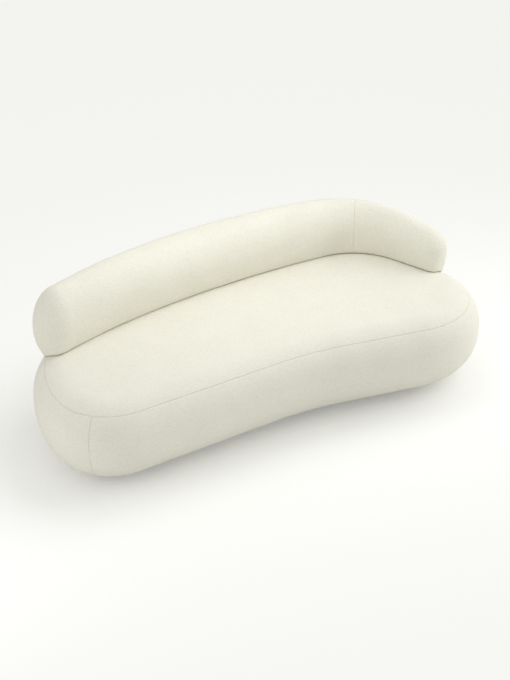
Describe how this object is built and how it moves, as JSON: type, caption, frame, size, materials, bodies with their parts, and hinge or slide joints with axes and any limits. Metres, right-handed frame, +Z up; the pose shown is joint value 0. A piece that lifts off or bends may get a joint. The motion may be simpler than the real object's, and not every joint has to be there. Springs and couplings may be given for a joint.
{
  "type": "curved lounge sofa",
  "caption": "Kidney-shaped lounge sofa: a rounded pebble seat on short wooden pad feet, with a low bolster back that follows the rear edge, tapers and curls round one end.",
  "frame": {"origin": "on the floor, under the middle of the sofa's outline in plan", "axes": "+X along the length towards the end where the back curls round, +Y to the rear, +Z up; a sitter faces -Y"},
  "size_m": [2.258, 1.1165, 0.7],
  "materials": {
    "cover_boucle": "cream boucle with fine nubs, sewn plain without piping",
    "base_cloth": "thin dark spunbonded cloth",
    "foot_wood": "satin stained hardwood, turned",
    "felt": "pressed felt",
    "plywood": "raw plywood",
    "foam": "open-cell polyurethane foam",
    "wadding": "white polyester wadding",
    "webbing": "woven elastic webbing",
    "zinc_steel": "zinc-plated steel"
  },
  "bodies": {
    "root": {"seat_cover_top": "cover_boucle", "seat_border_left": "cover_boucle", "seat_border_right": "cover_boucle", "back_cover_main": "cover_boucle", "back_cover_tail": "cover_boucle", "dust_cover": "base_cloth", "foot_1": "foot_wood", "foot_2": "foot_wood", "foot_3": "foot_wood", "foot_4": "foot_wood", "foot_5": "foot_wood", "foot_6": "foot_wood", "felt_glides": "felt", "rib_1": "plywood", "rib_2": "plywood", "rib_3": "plywood", "rib_4": "plywood", "rib_5": "plywood", "rib_6": "plywood", "rib_7": "plywood", "front_beam": "plywood", "rear_beam": "plywood", "bottom_panel": "plywood", "deck_ring": "plywood", "bent_side_skin": "plywood", "back_base_board": "plywood", "back_rail": "plywood", "back_former_1": "plywood", "back_former_2": "plywood", "back_former_3": "plywood", "back_former_4": "plywood", "back_former_5": "plywood", "back_former_6": "plywood", "back_former_7": "plywood", "seat_foam_slab": "foam", "seat_foam_border": "foam", "back_foam": "foam", "seat_wadding": "wadding", "webbing_cross_1": "webbing", "webbing_cross_2": "webbing", "webbing_cross_3": "webbing", "webbing_cross_4": "webbing", "webbing_cross_5": "webbing", "webbing_cross_6": "webbing", "webbing_long_1": "webbing", "webbing_long_2": "webbing", "foot_studs": "zinc_steel", "foot_tee_nuts": "zinc_steel", "back_bolts": "zinc_steel", "back_washers": "zinc_steel", "back_tee_nuts": "zinc_steel"}
  },
  "joints": []
}
